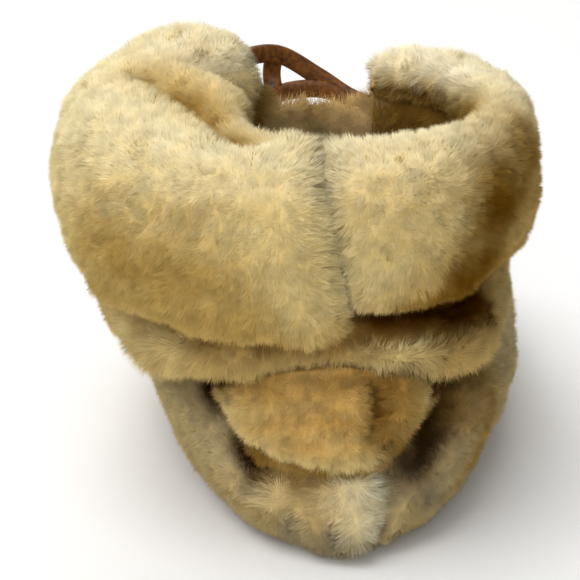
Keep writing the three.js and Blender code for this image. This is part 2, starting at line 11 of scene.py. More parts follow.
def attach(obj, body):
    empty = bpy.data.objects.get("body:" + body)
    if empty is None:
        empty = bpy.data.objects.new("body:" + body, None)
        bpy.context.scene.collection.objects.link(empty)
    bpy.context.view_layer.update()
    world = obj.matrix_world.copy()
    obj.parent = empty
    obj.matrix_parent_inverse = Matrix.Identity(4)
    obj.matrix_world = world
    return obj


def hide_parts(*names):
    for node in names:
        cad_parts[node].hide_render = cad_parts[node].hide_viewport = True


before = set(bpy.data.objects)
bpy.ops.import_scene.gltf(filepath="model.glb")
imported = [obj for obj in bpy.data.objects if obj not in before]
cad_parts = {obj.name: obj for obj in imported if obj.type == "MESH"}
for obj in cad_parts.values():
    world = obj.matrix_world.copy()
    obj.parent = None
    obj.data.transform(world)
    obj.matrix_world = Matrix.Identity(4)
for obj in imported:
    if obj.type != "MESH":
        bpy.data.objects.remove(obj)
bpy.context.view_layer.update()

MM = 0.001
SEED = 7
SEED_STEP = (3.7, 1.3, 2.1)

# Camera, at the photograph's angle behind the heel: azimuth and elevation in degrees, then metres
CAMERA = {"azimuth": 0.0, "elevation": 22.0, "distance": 0.4, "across": 0.1233}
LOOK_AT = Vector((-0.009, 0.012, 0.036))
SENSOR = 36.0
CLIP_START = 0.01

# Light: a sky that is brighter above and darker at the right, and soft lamps with their place, size and power
SKY_TINT = (1.0, 0.99, 0.97, 1)
SKY_LEVEL, SKY_ABOVE = 0.15, 0.66
SKY_LEFT, SKY_RIGHT = 1.5, 0.2
LAMPS = (
    ("key", (-0.58, -0.6, 2.1), 1.6, 31.0),
    ("heel fill", (-0.1, -1.7, 0.9), 1.2, 12.0),
    ("toe fill", (-0.3, 1.6, 1.4), 1.4, 13.0),
)

FLOOR_HALF = 3.0
FLOOR_TINT = (0.9, 0.9, 0.895, 1)
FLOOR_ROUGHNESS = 0.9

# Wool colours, linear, with the colours of painted shade and painted highlights
TINTS = {
    "pale": (0.87, 0.78, 0.51),
    "cream": (0.85, 0.715, 0.36),
    "gold": (0.74, 0.53, 0.2),
    "ochre": (0.55, 0.37, 0.11),
    "grey cream": (0.54, 0.44, 0.23),
    "grey": (0.72, 0.605, 0.36),
    "tan": (0.72, 0.51, 0.19),
    "buff": (0.56, 0.42, 0.18),
    "orange": (0.58, 0.34, 0.09),
    "white": (0.95, 0.88, 0.62),
    "dirt": (0.3, 0.26, 0.18),
    "umber": (0.11, 0.04, 0.003),
    "shadow": (0.03, 0.013, 0.004),
    "bronze": (0.3, 0.155, 0.022),
    "walnut": (0.18, 0.08, 0.006),
    "amber": (0.72, 0.44, 0.12),
    # Painted highlight for the tops of the flaps
    "painted highlight": (0.95, 0.89, 0.7),
    "suede": (0.72, 0.54, 0.28),
    # The lining's dark brown is painted shade on the wool inside the mouth
    "lining": (0.3, 0.18, 0.04),
}

# Leather: the two tones of its grain, then the grain's scale, roughness and shine
THONG_LEATHER = {"dark": (0.06, 0.02, 0.003), "light": (0.25, 0.09, 0.015), "scale": 900,
                 "roughness": 0.5, "specular": 0.4}
SOLE_SUEDE = {"dark": (0.13, 0.085, 0.045), "light": (0.3, 0.21, 0.12), "scale": 700,
              "roughness": 0.92, "specular": 0.2}

# The CAD solids that bear wool, and their slots
WOOL_SLOTS = {
    "upper": "foot_wool",
    "heel_counter": "heel_wool",
    "ankle_band": "band_wool",
    "cuff_left": "cuff_wool",
    "cuff_right": "cuff_wool",
    "insole": "lining",
}


class Coat(NamedTuple):
    """One coat of wool, with lengths in millimetres."""

    tint: str  # its wool
    patch: str  # the patches in it
    top: str  # the paler wool painted where it faces up: a painted highlight
    fibres: int
    length: float
    width: float
    lean: float  # how far the fibres lie over
    lock: float  # area of one lock, in square millimetres
    uneven: float  # how far the locks differ in shade
    inset: float = 0.0  # how far the base lies inside the solid
    front: float = 1.0  # density away from the heel
    clear: float = 0.8  # room that fibres need above their roots


FLEECE = {
    "cuff_left": Coat("cream", "gold", "pale", 180000, length=1.9, width=0.13, lean=1.0, lock=3.5,
                      uneven=0.08, inset=1.2, front=0.5),
    "cuff_right": Coat("cream", "gold", "pale", 140000, length=1.9, width=0.13, lean=1.0, lock=3.5,
                       uneven=0.08, inset=1.2, front=0.5),
    "upper": Coat("grey cream", "buff", "grey", 180000, length=1.9, width=0.14, lean=1.1, lock=3.5,
                  uneven=0.13, inset=1.2, front=0.45),
    # The lining's dark tint is painted shade inside the mouth
    "lining": Coat("lining", "bronze", "lining", 40000, length=2.8, width=0.14, lean=0.9, lock=6.0, uneven=0.1),
    "throat": Coat("suede", "buff", "suede", 26000, length=2.0, width=0.12, lean=1.2, lock=6.0, uneven=0.1),
    "insole": Coat("gold", "lining", "buff", 24000, length=2.6, width=0.16, lean=1.0, lock=6.0, uneven=0.1),
    "heel_counter": Coat("tan", "cream", "tan", 60000, length=1.8, width=0.13, lean=1.1, lock=3.5,
                         uneven=0.16, inset=0.6, clear=0.3),
    "ankle_band": Coat("buff", "gold", "gold", 80000, length=2.0, width=0.13, lean=1.1, lock=3.5,
                       uneven=0.13, inset=0.6, front=0.5),
}

# Base surfaces under the wool
VOXEL = 1.2 * MM
WALL_VOXEL = 1.0 * MM
ROUNDS = 10
EASE = 0.5

# The upper's coats, each limit a start and the width over which the wool fades. Along an axis in millimetres:
MIDDLE = np.array((0.0, 20 * MM))
WALL_TOP = (60, -4)
WALL_FOOT = (0.5, 1)
VAMP_FROM = (25, 10)
THROAT_FROM = (20, 4)
THROAT_LEFT = (-20, 9)
THROAT_RIGHT = (13, -9)
LINING_FROM = (42, 4)
RIM_FROM = (70, 0.5)
# By the way that the surface faces, from the middle or up:
FACES_OUT = (-0.15, 0.3)
FACES_IN = (0.15, 0.3)
VAMP_FACES_UP = (0, 0.2)
RIM_FACES_UP = (0, 0.3)

# Noise in layers of a weight and a size in millimetres, and the first seed of each kind
SWELL, SWELL_SEED = ((1.1, 15), (0.55, 6.5), (0.4, 3)), 1
PATCHES, PATCHES_SEED = ((0.6, 16), (0.35, 5)), 20
RAGGED, RAGGED_SEED = ((0.3, 3), (0.5, 8)), 22

# Patches: their share on upright wool and how much less there is on top, which also paints the top lighter;
# then where the painted highlight on wool that faces up begins, and how far the patches break it up
PATCH_SHARE = 0.3
PATCH_LESS_UP = 0.6
HIGHLIGHT_FROM = 0.05
HIGHLIGHT_PATCHED = 0.5

# Room above the base: how far it is measured and from what height, where lumps end, and the shortest fibres
REACH = 6 * MM
LIFT = 0.05
TIGHT = MM
SHORTEST = 0.4

# The nap lies down and to the toe, in swirls, and is pulled into the seams
NAP = np.array((0.0, 1.3, -1.0))
SWIRL, SWIRL_SIZE, SWIRL_SEEDS = 1.5, 6 * MM, (11, 12, 13)
COMB_PULL = 2.5
GROWTH_WIDTH = 4 * MM

# Fibres: where they grow, how far one strays from the nap, and how they gather into locks
FRONT_FROM = 15 * MM
WOOLLY = 0.5
ROOT_DEPTH = 0.5 * MM
FLOOR_GAP = 0.3 * MM
STRAY = 0.6
GATHER = 0.7
LOCK_TILT = 0.12
# Roots and the base under the fibres are painted darker and warmer than the tips: painted shade deep in the
# fleece
ROOT_PAINTED_SHADE = np.array((0.84, 0.77, 0.64))
TIP_SHADE = 1.07

# How fibres vary: the least factor, and what chance adds to it
LEANS = (0.6, 0.8)
LENGTHS = (0.6, 0.7)
WIDTHS = (0.7, 0.6)
SHADES = (0.94, 0.12)


class Mark(NamedTuple):
    """A crease, ridge, stain, painted shade or painted highlight along a line, placed in the slipper's own
    millimetres.
    """

    name: str
    on: tuple  # the coats that it lies on
    path: list  # the line that it follows
    tint: str  # its stain, painted shade or painted highlight
    strength: float
    reach: float  # how far its colour spreads
    deep: float = 0.0  # depth of the trough, negative for a ridge
    wide: float = 1.0  # width of the trough
    comb: float = 0.0  # how far away the fibres are still combed towards the line
    grow: float = 1.0  # how much longer the fibres are along it


# The back seam draws the two halves of the cuff together
SEAM = Mark("back seam", ("cuff_left", "cuff_right"),
            [(-0.8, -28, 71.5), (-1.1, -26.3, 75), (-1.6, -26.5, 79), (-2.2, -28.3, 82.8), (-2.6, -31, 83.8),
             (-3.1, -36, 83.3), (-3, -41.5, 80), (-2, -44.9, 74.8), (-0.4, -45.8, 67), (1.4, -45, 58),
             (2.4, -42.5, 51), (2.4, -38, 47)],
            "dirt", strength=0.5, reach=2.6, deep=0.6, wide=3.5, comb=9, grow=1.6)
DRAWN = 0.75
DRAWN_WITHIN = 3 * MM

MARKS = [
    SEAM,
    # Painted highlight: the tops of both flaps are painted paler where the light from above falls; their fibres
    # are also longer
    Mark("painted highlight on the left flap", ("cuff_left",),
         [(-34, 12, 88.3), (-28, 14, 88.9), (-22, 13, 88)],
         "painted highlight", strength=0.65, reach=8, grow=1.5),
    Mark("painted highlight on the right flap", ("cuff_right",),
         [(9, 28.5, 82.6), (14, 26, 84.2), (20.3, 20.8, 84.2), (25.5, 12.7, 83.6)],
         "painted highlight", strength=0.8, reach=7, grow=1.5),
    Mark("golden wool round the pinch", ("cuff_left",),
         [(-37, 4, 88.6), (-31, -2, 88.4), (-26, -7.5, 87.2), (-21, -13, 85.6)],
         "tan", strength=0.42, reach=10),
    # The ochre and brown in the pinch are partly the wool's own golden colour and partly painted shade in the
    # fold
    Mark("pinched mouth", ("cuff_left",),
         [(-36, 0, 88.5), (-33, -4, 88.2), (-28.6, -9.2, 87), (-24, -13.5, 85.4), (-20, -24, 85),
          (-17, -31, 84.7)],
         "ochre", strength=0.55, reach=4.6, deep=4.6, wide=4.4),
    Mark("brown of the pinch, above", ("cuff_left",),
         [(-30, -8, 87.2), (-26, -11.5, 86), (-23.5, -14.5, 85.4)],
         "bronze", strength=0.8, reach=4.2, deep=0.4, wide=3),
    Mark("brown of the pinch, below", ("cuff_left",),
         [(-20.5, -22.5, 85), (-18.5, -27.5, 84.8)],
         "bronze", strength=0.8, reach=3.6, deep=0.4, wide=3),
    # Painted shade: the left cuff's lower fold is painted darker and more golden, over a real trough
    Mark("low fold of the left cuff", ("cuff_left",),
         [(-44, -34, 62), (-37.6, -39, 60.5), (-30.3, -43.2, 59), (-23, -46, 57), (-16, -47.5, 54)],
         "ochre", strength=1.0, reach=9, deep=1.4, wide=6),
    Mark("pale wool along the seam", ("cuff_left",),
         [(-9, -47.5, 68), (-7, -48, 60), (-6, -47, 52)],
         "cream", strength=0.8, reach=8, deep=-0.8, wide=6, grow=1.2),
    # Painted shade along the left cuff's hem; its fibres are also longer
    Mark("left hem", ("cuff_left",),
         [(-46, -26, 51), (-35, -38, 51), (-23, -42.5, 49.5), (-9, -45, 48.5), (1, -45, 48)],
         "ochre", strength=0.75, reach=6, grow=1.4),
    # Painted shade along the right cuff's hem; its fibres are also longer
    Mark("painted shade along the right hem", ("cuff_right",),
         [(13, -42, 54), (19, -40, 56), (25.5, -37, 57.5), (32, -29, 57.5)],
         "bronze", strength=0.8, reach=3.5, grow=1.3),
    # Painted shade in the hollow inside the right flap, over a real trough with longer fibres
    Mark("inside of the right flap", ("cuff_right",),
         [(8, 27, 73), (12.4, 23, 73), (20.2, 16.6, 74), (25, 5.5, 76.5), (26, -8, 79.5)],
         "bronze", strength=1.1, reach=4.6, deep=0.8, wide=4, grow=1.5),
    Mark("right cuff's golden face", ("cuff_right",),
         [(12, -44, 74), (20, -43, 68), (25, -40, 62)],
         "gold", strength=0.15, reach=10),
    # Painted shade on the right cuff's side: brown above, darker towards the hem, and brown on its far side
    Mark("painted brown shade on the right cuff's side", ("cuff_right",),
         [(31.8, -26.5, 78), (31, -30, 75.5), (30, -33, 71.5)],
         "bronze", strength=0.6, reach=8),
    Mark("painted dark shade on the right cuff's side", ("cuff_right",),
         [(30, -33.5, 70), (29.5, -34.8, 66), (28.5, -35, 61.5), (26, -38, 58)],
         "walnut", strength=0.92, reach=10),
    Mark("painted shade on the right cuff's far side", ("cuff_right",),
         [(37, -17, 77.8), (38, -15, 70), (37.5, -15, 63), (36, -16, 57)],
         "bronze", strength=0.65, reach=9.5),
    # Painted shade on the band and the upper under the right cuff, where its shadow falls
    Mark("painted shade under the right cuff", ("ankle_band", "upper"),
         [(8, -37, 50.5), (13, -35, 50), (21, -25, 48.5), (27, -15, 46.5)],
         "umber", strength=1.3, reach=6),
    Mark("shade under the left hem", ("ankle_band",),
         [(-27, -33, 45.5), (-23.7, -36, 46.5), (-9, -40, 47), (2, -40.5, 47.5)],
         "umber", strength=0.65, reach=3),
    # Painted light: the band's left end is painted paler where the hem's shadow falls, over a low ridge with
    # longer fibres
    Mark("painted light on the left end of the band", ("ankle_band",),
         [(-45, -10, 41), (-40, -17, 41), (-36, -24, 41), (-31, -30, 42)],
         "cream", strength=0.8, reach=6, deep=-0.8, wide=5, grow=1.4),
    Mark("lower edge of the band", ("ankle_band",),
         [(-40, -16, 34), (-36, -24, 36), (-27, -35, 39), (-18, -39, 40.5), (-9, -40, 41), (0, -40.5, 41.5),
          (9, -39.5, 41.5), (18, -34, 40), (27, -24, 37), (31, -16, 35)],
         "ochre", strength=0.4, reach=3, grow=2.0),
    # Painted shadow in the counter's upper corners
    Mark("left corner of the counter", ("upper", "heel_counter"),
         [(-24, -17, 28.5), (-22.5, -23, 31), (-19, -30, 33.5)],
         "shadow", strength=0.85, reach=2.4),
    Mark("right corner of the counter", ("upper", "heel_counter"),
         [(24, -17, 31), (22.5, -22, 32), (19, -29, 34.5)],
         "shadow", strength=1.0, reach=4.5),
    # Painted shade darkening the crease of the right band, over a real trough
    Mark("crease of the right band", ("ankle_band",),
         [(5.5, -41, 46.2), (13, -40, 45), (20.5, -34, 45.4), (31, -18, 42)],
         "umber", strength=0.5, reach=1.8, deep=1.4, wide=1.6, comb=4),
    Mark("pale tips of the band", ("ankle_band",),
         [(5, -42, 43), (10, -41, 43.5), (16, -39, 43.5)],
         "cream", strength=0.8, reach=4, deep=-1.0, wide=4, grow=1.3),
    Mark("shade of the left seam", ("upper", "heel_counter"),
         [(-25.3, -15, 26.5), (-22, -27, 25.5), (-18.9, -28, 20), (-15.1, -33.3, 16)],
         "shadow", strength=0.95, reach=2.8, deep=1.2, wide=2.2, grow=1.2),
    Mark("foot seam of the counter", ("upper",),
         [(-15, -34, 16), (-7.5, -37, 16.5), (0, -38, 16.8), (6, -37.5, 17), (10.3, -36, 17.5)],
         "umber", strength=0.7, reach=1.6, deep=-0.8, wide=4, grow=1.8),
    # Painted shade in the trough along the counter's foot; its fibres are also longer
    Mark("foot of the counter", ("heel_counter",),
         [(-15, -34, 17.9), (-12, -35.9, 17.9), (-6, -38.1, 18), (0, -38.6, 18), (6, -37.9, 18),
          (10, -36.3, 18.8), (13, -35, 21.8)],
         "bronze", strength=0.8, reach=2.6, deep=2.0, wide=4.4, grow=2.5),
    # Painted shadow deep in the gap at the right of the counter, over a real trough
    Mark("gap at the right", ("upper",),
         [(18.8, -20, 37), (19.6, -22, 33), (20.8, -25.2, 28.3), (20, -29.3, 25), (18.3, -32.6, 22),
          (14.6, -35.4, 19)],
         "shadow", strength=1.2, reach=5.2, deep=2.0, wide=3),
    Mark("edge of the throat", ("throat",),
         [(-16, 26, 73.5), (-11.7, 29, 73.5), (-7, 29.8, 73.5), (-2.3, 30.6, 73.5), (3, 30.5, 73.5),
          (8, 29.5, 73.5)],
         "bronze", strength=0.5, reach=4, comb=7, grow=2.1),
    Mark("rim of the insole", ("insole",),
         [(0, -31.6, 5.8), (8.3, -30, 5.8), (14.5, -24, 5.8), (17.8, -16, 5.8), (20.1, -8, 5.8), (21.9, 0, 5.8),
          (23.9, 10, 5.8), (26.9, 30, 5.8), (28.9, 50, 5.8), (29.3, 60, 5.8), (28.5, 70, 6.2), (23.3, 80, 7.3),
          (16.5, 86, 7.9), (0, 90.9, 8.2), (-16.5, 86, 7.9), (-23.3, 80, 7.3), (-28.5, 70, 6.2),
          (-29.3, 60, 5.8), (-28.9, 50, 5.8), (-26.9, 30, 5.8), (-23.9, 10, 5.8), (-21.9, 0, 5.8),
          (-20.1, -8, 5.8), (-17.8, -16, 5.8), (-14.5, -24, 5.8), (-8.3, -30, 5.8), (0, -31.6, 5.8)],
         "lining", strength=0.6, reach=2.5, deep=-0.9, wide=3, comb=5, grow=1.8),
    # Painted shade darkening the counter's right edge, over a real trough
    Mark("right edge of the counter", ("heel_counter",),
         [(18.5, -30, 35), (17.8, -33, 30), (15.5, -36.3, 26), (12.4, -38.5, 23)],
         "umber", strength=1.0, reach=3.2, deep=3.0, wide=3.6, grow=1.8),
    Mark("left edge of the counter", ("heel_counter",),
         [(-22, -27, 31), (-20.5, -31, 26), (-18.5, -33.5, 21.5), (-15, -36, 18.3)],
         "orange", strength=0.5, reach=2.4, deep=2.0, wide=3.2, grow=1.8),
    Mark("amber heart of the counter", ("heel_counter",),
         [(-8, -41.4, 28), (0, -42.4, 30), (5, -41.4, 34)],
         "amber", strength=0.4, reach=7),
    Mark("upright seam", ("heel_counter",),
         [(7.7, -39, 38.6), (8, -40, 35.2), (7.8, -40.8, 31.6), (6.9, -41.2, 28)],
         "umber", strength=1.0, reach=2.6, deep=2.2, wide=1.8, comb=5),
    Mark("dark top of the upright seam", ("heel_counter",),
         [(7.6, -39.2, 38), (8, -40, 34.5)],
         "umber", strength=0.9, reach=3.4, deep=0.8, wide=2.4),
    Mark("right part of the counter", ("heel_counter",),
         [(11, -38.6, 37), (12.2, -38.8, 33), (11.7, -39.7, 29), (10.6, -39.8, 25)],
         "bronze", strength=0.5, reach=3.8, deep=-0.6, wide=3, grow=1.5),
    # Painted shade at the top of the counter under the band, and fainter painted shade in its upper and lower
    # folds
    Mark("painted shade at the top of the counter", ("heel_counter",),
         [(-16, -35.5, 36.5), (-9, -38.9, 38), (0, -40, 39), (7, -39, 39)],
         "orange", strength=0.65, reach=4, deep=0.6, wide=3),
    Mark("upper fold of the counter", ("heel_counter",),
         [(-17, -37, 28.5), (-9, -40.7, 31.5), (0, -41.9, 32.2), (5.7, -41.4, 31.3)],
         "orange", strength=0.3, reach=2.4, deep=0.9, wide=2),
    Mark("lower fold of the counter", ("heel_counter",),
         [(-15.6, -38, 24), (-7.5, -41.8, 26.3), (1.3, -42.3, 27)],
         "orange", strength=0.25, reach=2.4, deep=0.8, wide=2),
    # Painted shade in the cleft of the heel tip, over a real trough
    Mark("cleft of the heel tip", ("upper",),
         [(9.1, -36, 16.6), (10.3, -39.2, 13.2), (10.3, -40.7, 9), (9.2, -40.4, 4.5)],
         "umber", strength=0.6, reach=2.2, deep=2.2, wide=2.4, comb=5),
    Mark("bright lobe of the heel tip", ("upper",),
         [(4.8, -38.8, 14.7), (5.4, -42.2, 11.4), (4.8, -43.5, 7.7)],
         "white", strength=1.0, reach=6.5, deep=-1.4, wide=4.5, grow=1.2),
    Mark("dent in the heel tip", ("upper",),
         [(-8, -38, 15), (-5, -41.5, 12), (-3, -43, 9)],
         "tan", strength=0.5, reach=5, deep=0.8, wide=3),
    Mark("middle cleft of the heel tip", ("upper",),
         [(-1.5, -44, 9), (-1, -44, 5), (-1, -43.5, 2.5)],
         "dirt", strength=0.6, reach=2.4, deep=1.6, wide=1.8, comb=4),
    Mark("left cleft of the heel tip", ("upper",),
         [(-10, -40.6, 9), (-10.5, -39.6, 5.5), (-10, -38, 2.5)],
         "dirt", strength=0.7, reach=2.6, deep=1.6, wide=2, comb=4),
    Mark("dirt under the heel tip", ("upper",),
         [(-10, -40, 5), (-3, -43.1, 4.5), (3, -43.8, 4.5), (8, -41.9, 5)],
         "dirt", strength=0.6, reach=3.6, grow=1.2),
    Mark("dirt on the right wall", ("upper",),
         [(18, -36, 13), (21, -34, 11)],
         "dirt", strength=0.6, reach=4),
    # Painted shade in the fold of the right wall, over a real trough
    Mark("fold of the right wall", ("upper",),
         [(33.6, -8.7, 26), (33.7, -11.4, 20), (31, -14, 14)],
         "buff", strength=0.6, reach=3.5, deep=1.4, wide=3),
    Mark("ridge of the right wall", ("upper",),
         [(26, -20, 28), (25.5, -27, 23), (23, -33, 18)],
         "grey", strength=0.4, reach=5, deep=-1.2, wide=4),
    Mark("shade of the right wall", ("upper",),
         [(26, -22, 26), (31, -13, 29), (32, -17, 22), (30, -21, 14)],
         "bronze", strength=0.65, reach=7.5),
]

# The thong's route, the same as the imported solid's, and its section
THONG_WIDTH = 4.0 * MM
THONG_THICKNESS = 1.8 * MM
UPPER_BAR = [(-21.5, 31.5, 81), (-12, 38.5, 80.5), (-3, 40.5, 75), (4, 40, 70.5), (11, 37, 68.5)]
LOWER_BAR = [(-20.5, 31, 68), (-12, 38, 71.5), (-3, 40, 72.3), (4, 40, 70), (11, 37, 68)]
EDGE_PASS = [(-12.5, 38.4, 80), (-13, 39.2, 76), (-12.5, 38, 72)]
STEEP = 0.8
SIDE_ROUND = 0.5
FACE_ROUND = 0.7


def link(name, data):
    piece = bpy.data.objects.new(name, data)
    bpy.context.scene.collection.objects.link(piece)
    return piece


def baked(piece):
    """Gives a piece the mesh that its modifiers make."""
    graph = bpy.context.evaluated_depsgraph_get()
    mesh = bpy.data.meshes.new_from_object(piece.evaluated_get(graph))
    old = piece.data
    piece.modifiers.clear()
    piece.data = mesh
    bpy.data.meshes.remove(old)


def arrays(mesh):
    """Vertex places and normals and the triangles of a mesh."""
    places = np.empty(len(mesh.vertices) * 3)
    mesh.vertices.foreach_get("co", places)
    normals = np.empty(len(mesh.vertices) * 3)
    mesh.vertices.foreach_get("normal", normals)
    mesh.calc_loop_triangles()
    faces = np.empty(len(mesh.loop_triangles) * 3, np.int32)
    mesh.loop_triangles.foreach_get("vertices", faces)
    return places.reshape(-1, 3), normals.reshape(-1, 3), faces.reshape(-1, 3)


def place_vertices(mesh, places):
    mesh.vertices.foreach_set("co", places.ravel())
    mesh.update()


def smooth(mesh):
    mesh.polygons.foreach_set("use_smooth", np.ones(len(mesh.polygons), bool))


def polygons(name, points, faces):
    """A smooth mesh from numpy arrays of points and of faces that have equally many corners."""
    mesh = bpy.data.meshes.new(name)
    mesh.vertices.add(len(points))
    mesh.vertices.foreach_set("co", points.ravel())
    mesh.loops.add(faces.size)
    mesh.loops.foreach_set("vertex_index", faces.ravel())
    mesh.polygons.add(len(faces))
    mesh.polygons.foreach_set("loop_start", np.arange(len(faces)) * faces.shape[1])
    smooth(mesh)
    mesh.update(calc_edges=True)
    return mesh


def unit(rows):
    return rows / (np.linalg.norm(rows, axis=1, keepdims=True) + 1e-12)


def ramp(values, start, width):
    """0 up to the start, then rising to 1 over the width. With a negative width it rises backwards."""
    return np.clip((values - start) / width, 0, 1)


def bell(distance, width):
    return np.exp(-((distance / width) ** 2))


def lumps(places, size, seed):
    """Soft noise in about -1 to 1, one value for each place."""
    shift = Vector([seed * step for step in SEED_STEP])
    return np.array([noise.noise(Vector(p) / size + shift) for p in places])


def layered(places, layers, seed):
    """Lumps of several weights and sizes, added up."""
    return sum(weight * lumps(places, size * MM, seed + k) for k, (weight, size) in enumerate(layers))


def varied(count, spread, rng):
    """Random factors from a least one up."""
    least, more = spread
    return least + more * rng.random(count)


def to_path(places, path):
    """The distance to a line through points in millimetres, and the way to its nearest point."""
    knots = np.array(path, float) * MM
    best = np.full(len(places), np.inf)
    way = np.zeros_like(places)
    for a, b in zip(knots, knots[1:]):
        along = np.clip((places - a) @ (b - a) / ((b - a) @ (b - a)), 0, 1)
        offset = a + along[:, None] * (b - a) - places
        distance = np.linalg.norm(offset, axis=1)
        nearer = distance < best
        best[nearer] = distance[nearer]
        way[nearer] = offset[nearer]
    return best, way


def marks_on(coat):
    return [mark for mark in MARKS if coat in mark.on]


def relaxed(mesh, rounds, share):
    """Vertex places after rounds of evening out, as far as each vertex's share."""
    places, _, _ = arrays(mesh)
    edges = np.empty(len(mesh.edges) * 2, np.int32)
    mesh.edges.foreach_get("vertices", edges)
    a, b = edges.reshape(-1, 2).T
    count = np.bincount(np.concatenate([a, b]), minlength=len(places))[:, None]
    for _ in range(rounds):
        total = np.zeros_like(places)
        np.add.at(total, a, places[b])
        np.add.at(total, b, places[a])
        places = places + (total / np.maximum(count, 1) - places) * EASE * share[:, None]
    return places


def coats(node_name, places, normals):
    """The coats of wool on a piece, with how much of each there is at each place."""
    if node_name != "upper":
        return {node_name: np.ones(len(places))}
    x, y, z = places.T / MM
    up = normals[:, 2]
    outward = places[:, :2] - MIDDLE
    facing = np.einsum("ij,ij->i", outward, normals[:, :2]) / (np.linalg.norm(outward, axis=1) + 1e-9)
    vamp = ramp(y, *VAMP_FROM) * ramp(up, *VAMP_FACES_UP)
    wall = np.maximum(ramp(facing, *FACES_OUT), vamp) * ramp(z, *WALL_TOP) * ramp(z, *WALL_FOOT)
    bare = ramp(y, *THROAT_FROM) * ramp(x, *THROAT_RIGHT) * ramp(x, *THROAT_LEFT)
    inside = ramp(-facing, *FACES_IN) * ramp(z, *LINING_FROM)
    rim = ramp(z, *RIM_FROM) * ramp(up, *RIM_FACES_UP)
    hidden = np.maximum(inside, rim)
    return {"upper": wall, "lining": hidden * (1 - bare), "throat": hidden * bare}


def neighbour_tree(node_name):
    """A search tree over the CAD solids other than one and the lace."""
    corners = []
    faces = []
    for name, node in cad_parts.items():
        if name in (node_name, "lace"):
            continue
        start = len(corners)
        corners += [v.co.copy() for v in node.data.vertices]
        faces += [[start + i for i in p.vertices] for p in node.data.polygons]
    return BVHTree.FromPolygons(corners, faces)


def room_above(tree, places, normals):
    """Free distance along each normal, up to the reach."""
    room = np.full(len(places), REACH)
    for i, (p, n) in enumerate(zip(places, normals)):
        _, _, _, distance = tree.ray_cast(Vector(p) + Vector(n) * LIFT * MM, Vector(n), REACH)
        if distance is not None:
            room[i] = distance
    return room


def base_piece(node_name):
    """A smooth, evenly meshed copy of a CAD solid, with the fleece's lumps, creases and ridges.

    Also gives the room above its vertices, and their places before the lumps."""
    piece = link(node_name + "_base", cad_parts[node_name].data.copy())
    piece.data.materials.clear()
    even = piece.modifiers.new("even", "REMESH")
    even.mode = "VOXEL"
    even.voxel_size = WALL_VOXEL if node_name == "upper" else VOXEL
    baked(piece)
    places, normals, _ = arrays(piece.data)
    share = coats(node_name, places, normals)[node_name]
    place_vertices(piece.data, relaxed(piece.data, ROUNDS, share))
    still, normals, _ = arrays(piece.data)
    room = room_above(neighbour_tree(node_name), still, normals)
    share = share * ramp(room, TIGHT, REACH - TIGHT)
    swell = layered(still, SWELL, SWELL_SEED) - FLEECE[node_name].inset
    for mark in marks_on(node_name):
        distance, _ = to_path(still, mark.path)
        swell -= mark.deep * bell(distance, mark.wide * MM)
    places = still + normals * (swell * share * MM)[:, None]
    if node_name in SEAM.on:
        distance, way = to_path(places, SEAM.path)
        places = places + way * (DRAWN * bell(distance, DRAWN_WITHIN))[:, None]
    place_vertices(piece.data, places)
    smooth(piece.data)
    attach(piece, "root")
    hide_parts(node_name)
    return piece, room, still


def tint_of(coat, places, normals, seed):
    """The wool's colour at each place: its tint, patches, a painted highlight where it faces up, and the marks'
    stains, painted shade and painted highlights.

    Colours mix by their square roots, so that the colour of a mark fades evenly to the eye."""
    spec = FLEECE[coat]
    own, patch, top = (np.sqrt(TINTS[name]) for name in (spec.tint, spec.patch, spec.top))
    up = normals[:, 2]
    patches = layered(places, PATCHES, seed + PATCHES_SEED)
    share = np.clip(PATCH_SHARE + patches - PATCH_LESS_UP * up, 0, 1)
    colour = own + (patch - own) * share[:, None]
    # Wool that faces up is painted paler: a painted highlight where the light from above falls
    painted_highlight = np.clip((up - HIGHLIGHT_FROM) / (1 - HIGHLIGHT_FROM) + HIGHLIGHT_PATCHED * patches, 0, 1)
    colour = colour + (top - colour) * painted_highlight[:, None]
    ragged = 1 + layered(places, RAGGED, seed + RAGGED_SEED)
    for mark in marks_on(coat):
        distance, _ = to_path(places, mark.path)
        stain_and_painted_light = np.clip(mark.strength * bell(distance, mark.reach * MM) * ragged, 0, 1)
        colour = colour + (np.sqrt(TINTS[mark.tint]) - colour) * stain_and_painted_light[:, None]
    return colour**2


def growth(coat, places):
    """How much longer than usual the fibres are at each place."""
    longer = np.ones(len(places))
    for mark in marks_on(coat):
        if mark.grow != 1:
            distance, _ = to_path(places, mark.path)
            longer += (mark.grow - 1) * bell(distance, GROWTH_WIDTH)
    return longer


def lay_of(coat, places, seed):
    """The way that the fibres lie at each place: down and to the toe, in swirls, and combed into the seams."""
    lay = NAP + SWIRL * np.stack([lumps(places, SWIRL_SIZE, seed + k) for k in SWIRL_SEEDS], 1)
    for mark in marks_on(coat):
        if mark.comb:
            distance, way = to_path(places, mark.path)
            lay = lay + unit(way) * (COMB_PULL * bell(distance, mark.comb * MM))[:, None]
    return lay


def set_colours(mesh, colours):
    layer = mesh.attributes.new("wool", "FLOAT_COLOR", "POINT")
    rgba = np.ones((len(colours), 4), np.float32)
    rgba[:, :3] = colours
    layer.data.foreach_set("color", rgba.ravel())


def scattered(weights, count, rng):
    """Random places on weighted faces: the face of each, and the shares of that face's corners."""
    total = np.cumsum(weights)
    pick = np.searchsorted(total, (np.arange(count) + rng.random(count)) / count * total[-1])
    pick = np.minimum(pick, len(total) - 1)
    u, v = rng.random(count), rng.random(count)
    flip = u + v > 1
    u[flip], v[flip] = 1 - u[flip], 1 - v[flip]
    return pick, np.stack([1 - u - v, u, v], 1)


def nearest_of(points, places):
    """Which of the points is nearest to each place."""
    finder = KDTree(len(points))
    for k, point in enumerate(points):
        finder.insert(Vector(point), k)
    finder.balance()
    return np.array([finder.find(Vector(p))[1] for p in places])


